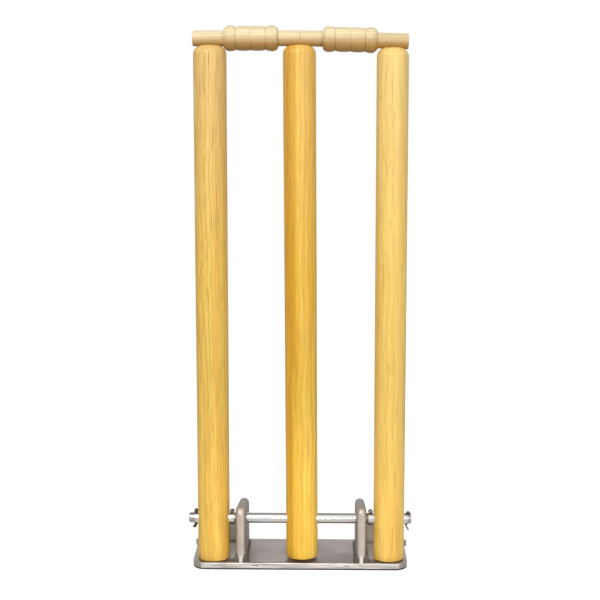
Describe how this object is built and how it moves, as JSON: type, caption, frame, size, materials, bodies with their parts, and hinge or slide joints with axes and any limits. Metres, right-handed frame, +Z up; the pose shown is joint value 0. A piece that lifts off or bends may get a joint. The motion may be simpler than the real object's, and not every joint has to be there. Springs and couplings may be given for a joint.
{
  "type": "cricket stumps",
  "caption": "Sprung wooden cricket stumps with bails on a steel base; each stump tilts back on a shared rod and is pulled upright again.",
  "frame": {"origin": "on the ground, straight below the middle of the pivot rod and in the plane of the stumps' axes", "axes": "+Z up along the stumps, +X along the pivot rod to the right as the bowler sees it, +Y behind the stumps, the way that they tilt"},
  "size_m": [0.3092, 0.1, 0.7364],
  "materials": {
    "honey_wood": "clear varnish over straight grain",
    "amber_wood": "clear varnish over darker grain",
    "pale_wood": "clear varnish over faint grain",
    "bail_wood": "pale turned wood, satin",
    "plate_steel": "brushed, lightly smudged",
    "rod_steel": "bright drawn bar",
    "wire_steel": "grey wire"
  },
  "bodies": {
    "base": {"base_plate": "plate_steel", "bracket_left": "plate_steel", "bracket_right": "plate_steel", "rear_stop_left": "plate_steel", "rear_stop_middle": "plate_steel", "rear_stop_right": "plate_steel", "pivot_rod": "rod_steel", "split_pin_outer_left": "wire_steel", "split_pin_inner_left": "wire_steel", "split_pin_inner_right": "wire_steel", "split_pin_outer_right": "wire_steel", "return_spring_left": "wire_steel", "return_spring_middle": "wire_steel", "return_spring_right": "wire_steel"},
    "stump_left": {"stump_left": "honey_wood", "screw_eye_left": "wire_steel"},
    "stump_middle": {"stump_middle": "amber_wood", "screw_eye_middle": "wire_steel"},
    "stump_right": {"stump_right": "pale_wood", "screw_eye_right": "wire_steel"},
    "bail_left": {"bail_left": "bail_wood"},
    "bail_right": {"bail_right": "bail_wood"}
  },
  "joints": [
    {"name": "stump_left_tilt", "type": "hinge", "parent": "base", "child": "stump_left", "pos_m": [-0.1214, 0, 0.0671], "axis": [-1, 0, 0], "range_deg": [0, 85], "stiffness_Nm_per_rad": 2, "springref_deg": -28.65, "deforming": ["return_spring_left"]},
    {"name": "stump_middle_tilt", "type": "hinge", "parent": "base", "child": "stump_middle", "pos_m": [0.0009, 0, 0.0671], "axis": [-1, 0, 0], "range_deg": [0, 85], "stiffness_Nm_per_rad": 2, "springref_deg": -28.65, "deforming": ["return_spring_middle"]},
    {"name": "stump_right_tilt", "type": "hinge", "parent": "base", "child": "stump_right", "pos_m": [0.1214, 0, 0.0671], "axis": [-1, 0, 0], "range_deg": [0, 85], "stiffness_Nm_per_rad": 2, "springref_deg": -28.65, "deforming": ["return_spring_right"]},
    {"name": "bail_left_lift", "type": "slide", "parent": "stump_left", "child": "bail_left", "axis": [0, 0, 1], "range_m": [0, 0.06]},
    {"name": "bail_right_lift", "type": "slide", "parent": "stump_right", "child": "bail_right", "axis": [0, 0, 1], "range_m": [0, 0.06]}
  ]
}
